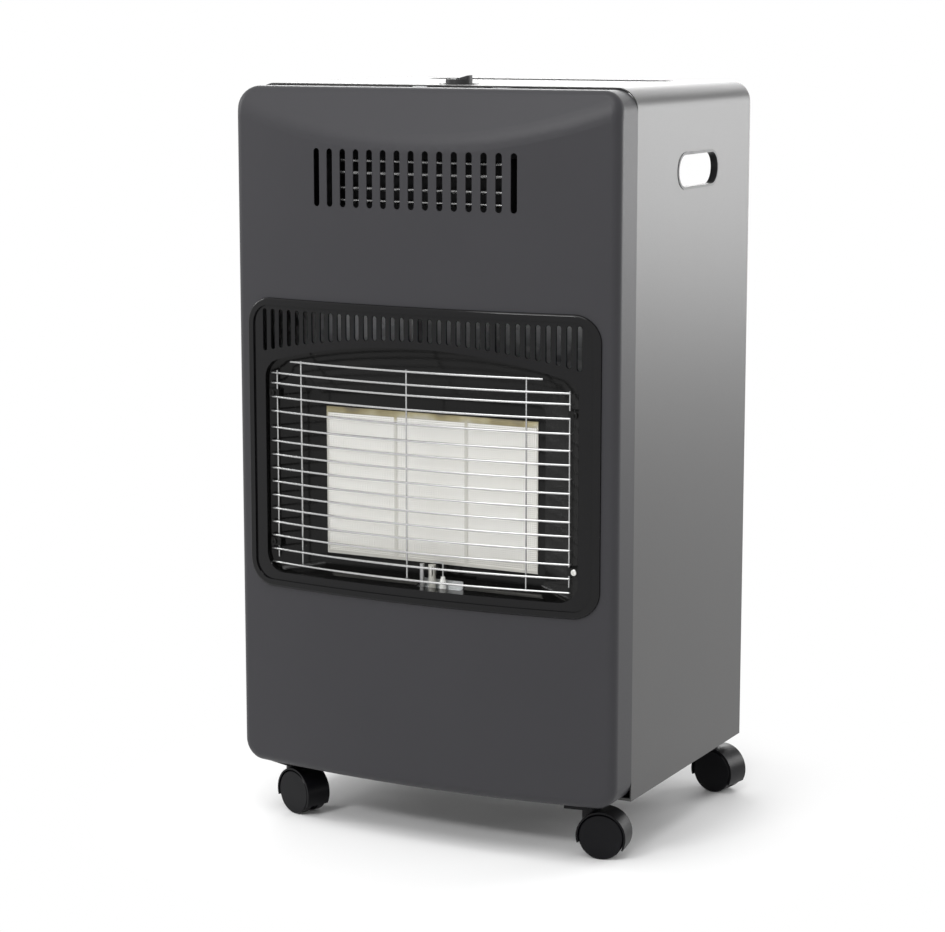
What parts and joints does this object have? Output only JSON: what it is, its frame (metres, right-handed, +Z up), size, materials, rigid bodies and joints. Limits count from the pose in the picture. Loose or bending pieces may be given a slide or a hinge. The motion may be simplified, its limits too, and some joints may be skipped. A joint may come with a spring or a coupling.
{
  "type": "portable gas cabinet heater",
  "caption": "Upright gas cabinet heater with bowed front panel, louvred window, wire guard over ceramic burner plaques, top knob and castors.",
  "frame": {"origin": "centre of the bounding box's foot, on the floor below the middle of the case", "axes": "+Z up, the front of the heater faces -Y, +X to the viewer's right"},
  "size_m": [0.44, 0.345, 0.7508],
  "materials": {
    "case_paint": "fine-textured dark grey powder coat on pressed steel",
    "side_paint": "smooth dark grey satin paint on bent steel",
    "bezel_gloss": "gloss black enamel",
    "tray_enamel": "gloss black heat-resistant enamel",
    "baffle_paint": "matt black heat-resistant paint",
    "guard_chrome": "bright chromed wire",
    "screw_steel": "zinc-plated screw",
    "burner_steel": "heat-tinted pressed steel",
    "plaque_ceramic": "off-white perforated ceramic",
    "plated_steel": "galvanised sheet steel",
    "pipe_aluminium": "drawn aluminium pipe",
    "brass": "turned brass",
    "insulator": "white glazed ceramic",
    "lead_rubber": "black silicone-sleeved lead",
    "valve_alloy": "die-cast alloy",
    "black_plastic": "moulded black plastic, fine grain",
    "castor_plastic": "moulded black nylon",
    "stem_steel": "turned steel pin"
  },
  "bodies": {
    "cabinet": {"cabinet_shell": "side_paint", "front_panel": "case_paint", "window_bezel": "bezel_gloss", "reflector_tray": "tray_enamel", "burner_frame": "burner_steel", "burner_box_left": "burner_steel", "burner_box_centre": "burner_steel", "burner_box_right": "burner_steel", "burner_plaque_left": "plaque_ceramic", "burner_plaque_centre": "plaque_ceramic", "burner_plaque_right": "plaque_ceramic", "gas_manifold": "plated_steel", "gas_jets": "brass", "heat_shield": "plated_steel", "wire_guard": "guard_chrome", "guard_clips": "tray_enamel", "guard_screws": "screw_steel", "vent_rods": "guard_chrome", "vent_brackets": "baffle_paint", "pilot_bracket": "plated_steel", "pilot_burner": "burner_steel", "electrode_insulator": "insulator", "spark_electrode": "stem_steel", "thermocouple": "stem_steel", "pilot_tube": "pipe_aluminium", "supply_pipe": "pipe_aluminium", "ignition_lead": "lead_rubber", "piezo_igniter": "black_plastic", "gas_valve": "valve_alloy", "valve_bracket": "plated_steel", "gas_inlet_tail": "brass", "knob_dish": "black_plastic", "base_plate": "side_paint", "castor_sockets": "plated_steel", "base_screws": "screw_steel", "handle_insert_left": "black_plastic", "handle_insert_right": "black_plastic"},
    "push_collar": {"push_collar": "stem_steel"},
    "knob": {"valve_spindle": "brass", "control_knob": "black_plastic"},
    "rear_panel": {"rear_panel": "side_paint"},
    "castor_front_left": {"castor_hood_front_left": "castor_plastic", "castor_stem_front_left": "stem_steel"},
    "wheels_front_left": {"castor_wheels_front_left": "castor_plastic", "castor_axle_front_left": "stem_steel"},
    "brake_front_left": {"brake_lever_front_left": "castor_plastic"},
    "castor_front_right": {"castor_hood_front_right": "castor_plastic", "castor_stem_front_right": "stem_steel"},
    "wheels_front_right": {"castor_wheels_front_right": "castor_plastic", "castor_axle_front_right": "stem_steel"},
    "brake_front_right": {"brake_lever_front_right": "castor_plastic"},
    "castor_rear_left": {"castor_hood_rear_left": "castor_plastic", "castor_stem_rear_left": "stem_steel"},
    "wheels_rear_left": {"castor_wheels_rear_left": "castor_plastic", "castor_axle_rear_left": "stem_steel"},
    "castor_rear_right": {"castor_hood_rear_right": "castor_plastic", "castor_stem_rear_right": "stem_steel"},
    "wheels_rear_right": {"castor_wheels_rear_right": "castor_plastic", "castor_axle_rear_right": "stem_steel"}
  },
  "joints": [
    {"name": "knob_push", "type": "slide", "parent": "cabinet", "child": "push_collar", "axis": [0, 0, -1], "range_m": [0, 0.0035], "stiffness_N_per_m": 1500, "springref_m": -0.004},
    {"name": "knob_turn", "type": "hinge", "parent": "push_collar", "child": "knob", "pos_m": [0, -0.0705, 0.742], "axis": [0, 0, 1], "range_deg": [0, 220]},
    {"name": "rear_panel_lift", "type": "slide", "parent": "cabinet", "child": "rear_panel", "axis": [0, 0, 1], "range_m": [0, 0.22]},
    {"name": "swivel_front_left", "type": "hinge", "parent": "cabinet", "child": "castor_front_left", "pos_m": [-0.168, -0.113, 0.058], "axis": [0, 0, 1], "continuous": true},
    {"name": "roll_front_left", "type": "hinge", "parent": "castor_front_left", "child": "wheels_front_left", "pos_m": [-0.15672, -0.1171, 0.0225], "axis": [0.342, 0.9397, 0], "continuous": true},
    {"name": "brake_front_left", "type": "hinge", "parent": "castor_front_left", "child": "brake_front_left", "pos_m": [-0.168, -0.113, 0.0509], "axis": [-0.342, -0.9397, 0], "range_deg": [0, 12]},
    {"name": "swivel_front_right", "type": "hinge", "parent": "cabinet", "child": "castor_front_right", "pos_m": [0.168, -0.113, 0.058], "axis": [0, 0, 1], "continuous": true},
    {"name": "roll_front_right", "type": "hinge", "parent": "castor_front_right", "child": "wheels_front_right", "pos_m": [0.17982, -0.11092, 0.0225], "axis": [-0.1736, 0.9848, 0], "continuous": true},
    {"name": "brake_front_right", "type": "hinge", "parent": "castor_front_right", "child": "brake_front_right", "pos_m": [0.168, -0.113, 0.0509], "axis": [0.1736, -0.9848, 0], "range_deg": [0, 12]},
    {"name": "swivel_rear_left", "type": "hinge", "parent": "cabinet", "child": "castor_rear_left", "pos_m": [-0.181, 0.1535, 0.058], "axis": [0, 0, 1], "continuous": true},
    {"name": "roll_rear_left", "type": "hinge", "parent": "castor_rear_left", "child": "wheels_rear_left", "pos_m": [-0.19278, 0.15121, 0.0225], "axis": [0.1908, -0.9816, 0], "continuous": true},
    {"name": "swivel_rear_right", "type": "hinge", "parent": "cabinet", "child": "castor_rear_right", "pos_m": [0.181, 0.1535, 0.058], "axis": [0, 0, 1], "continuous": true},
    {"name": "roll_rear_right", "type": "hinge", "parent": "castor_rear_right", "child": "wheels_rear_right", "pos_m": [0.19278, 0.15121, 0.0225], "axis": [0.1908, 0.9816, 0], "continuous": true}
  ]
}
